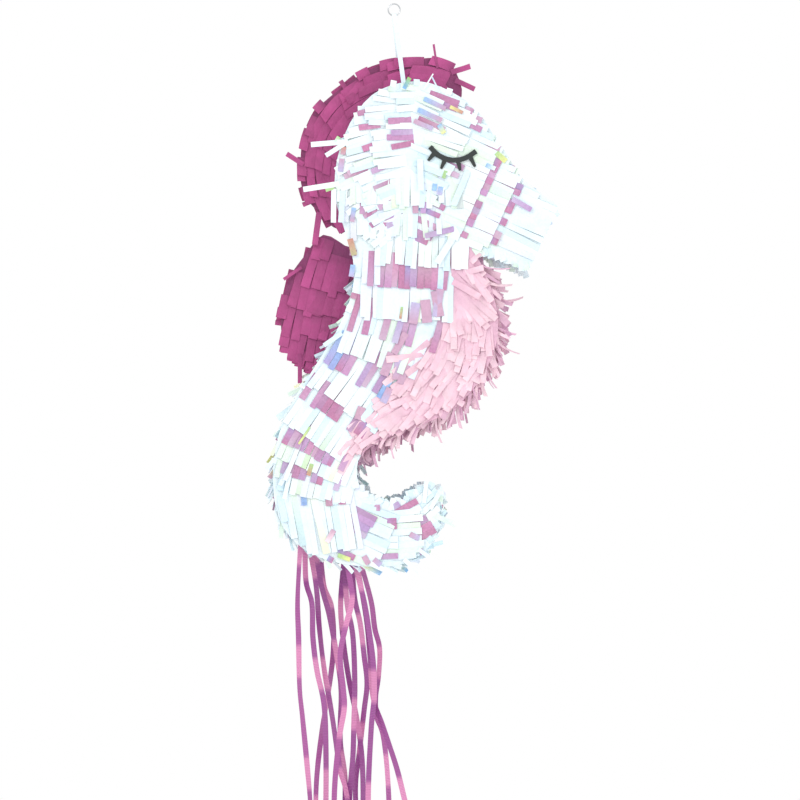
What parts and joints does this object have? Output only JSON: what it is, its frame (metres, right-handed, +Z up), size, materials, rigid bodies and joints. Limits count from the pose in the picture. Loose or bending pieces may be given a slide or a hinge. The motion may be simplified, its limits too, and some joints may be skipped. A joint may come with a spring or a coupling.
{
  "type": "seahorse pinata",
  "caption": "Hanging seahorse pull-string pinata: fringed cardboard shell with a magenta crest and fin, a filler flap, a tail trap door and curling pull ribbons.",
  "frame": {"origin": "centre of the wire hanging ring", "axes": "+Z up, +X towards the way the snout points, +Y towards the far side, which has the filler flap"},
  "size_m": [0.285, 0.0976, 0.9339],
  "materials": {
    "cardboard": "matte",
    "trim_board": "matte",
    "white_film_fringe": "gloss",
    "pink_tissue_fringe": "matte",
    "magenta_tissue_fringe": "matte",
    "lash_sticker": "gloss",
    "clear_tape": "gloss",
    "curling_ribbon": "satin",
    "ring_wire": "satin",
    "loop_ribbon": "satin"
  },
  "bodies": {
    "hanger": {"hanging_ring": "ring_wire"},
    "pinata": {"ribbon_loop": "loop_ribbon", "hanger_knot": "loop_ribbon", "crown_patch": "cardboard", "near_side_panel": "cardboard", "far_side_panel": "cardboard", "forehead_wall": "cardboard", "nape_wall": "cardboard", "upper_back_wall": "cardboard", "lower_back_wall": "cardboard", "tail_heel_wall": "cardboard", "tail_base_wall": "cardboard", "tail_tip_wall": "cardboard", "tail_inner_wall": "cardboard", "lower_belly_wall": "cardboard", "front_belly_wall": "cardboard", "throat_wall": "cardboard", "snout_under_wall": "cardboard", "snout_end_wall": "cardboard", "snout_top_wall": "cardboard", "crest_board": "trim_board", "fin_board": "trim_board", "near_eyelash": "lash_sticker", "far_eyelash": "lash_sticker", "near_head_fringe": "white_film_fringe", "far_head_fringe": "white_film_fringe", "crown_edge_fringe": "white_film_fringe", "snout_fringe": "white_film_fringe", "near_body_fringe": "white_film_fringe", "far_body_fringe": "white_film_fringe", "back_edge_fringe": "white_film_fringe", "tail_fringe": "white_film_fringe", "near_belly_fringe": "pink_tissue_fringe", "far_belly_fringe": "pink_tissue_fringe", "belly_edge_fringe": "pink_tissue_fringe", "near_crest_fringe": "magenta_tissue_fringe", "far_crest_fringe": "magenta_tissue_fringe", "near_fin_fringe": "magenta_tissue_fringe", "far_fin_fringe": "magenta_tissue_fringe", "rear_ribbon_tape": "clear_tape", "front_ribbon_tape": "clear_tape", "ribbon_1": "curling_ribbon", "ribbon_2": "curling_ribbon", "ribbon_3": "curling_ribbon", "ribbon_4": "curling_ribbon", "ribbon_5": "curling_ribbon", "ribbon_6": "curling_ribbon", "ribbon_7": "curling_ribbon", "ribbon_8": "curling_ribbon", "ribbon_9": "curling_ribbon", "ribbon_10": "curling_ribbon", "ribbon_11": "curling_ribbon"},
    "trap_door": {"trap_door": "cardboard", "trap_door_fringe": "white_film_fringe", "door_ribbon_tape": "clear_tape"},
    "filler_flap": {"filler_flap": "cardboard", "filler_flap_fringe": "white_film_fringe"},
    "pull_ribbon": {"pull_ribbon": "curling_ribbon"}
  },
  "joints": [
    {"name": "swing", "type": "hinge", "parent": "hanger", "child": "pinata", "pos_m": [0, 0, 0], "axis": [0, 1, 0], "range_deg": [-35, 35]},
    {"name": "trap_door_hinge", "type": "hinge", "parent": "pinata", "child": "trap_door", "pos_m": [-0.016, 0, -0.559], "axis": [0, -1, 0], "range_deg": [0, 100]},
    {"name": "filler_flap_hinge", "type": "hinge", "parent": "pinata", "child": "filler_flap", "pos_m": [0.012, 0.045, -0.28], "axis": [1, 0, 0], "range_deg": [0, 110]},
    {"name": "pull_ribbon_bend", "type": "hinge", "parent": "trap_door", "child": "pull_ribbon", "pos_m": [-0.05, 0, -0.564], "axis": [0, -1, 0], "range_deg": [-100, 0]}
  ],
  "couplings": [
    {"joint": "pull_ribbon_bend", "follows": "trap_door_hinge", "ratio": -1}
  ]
}
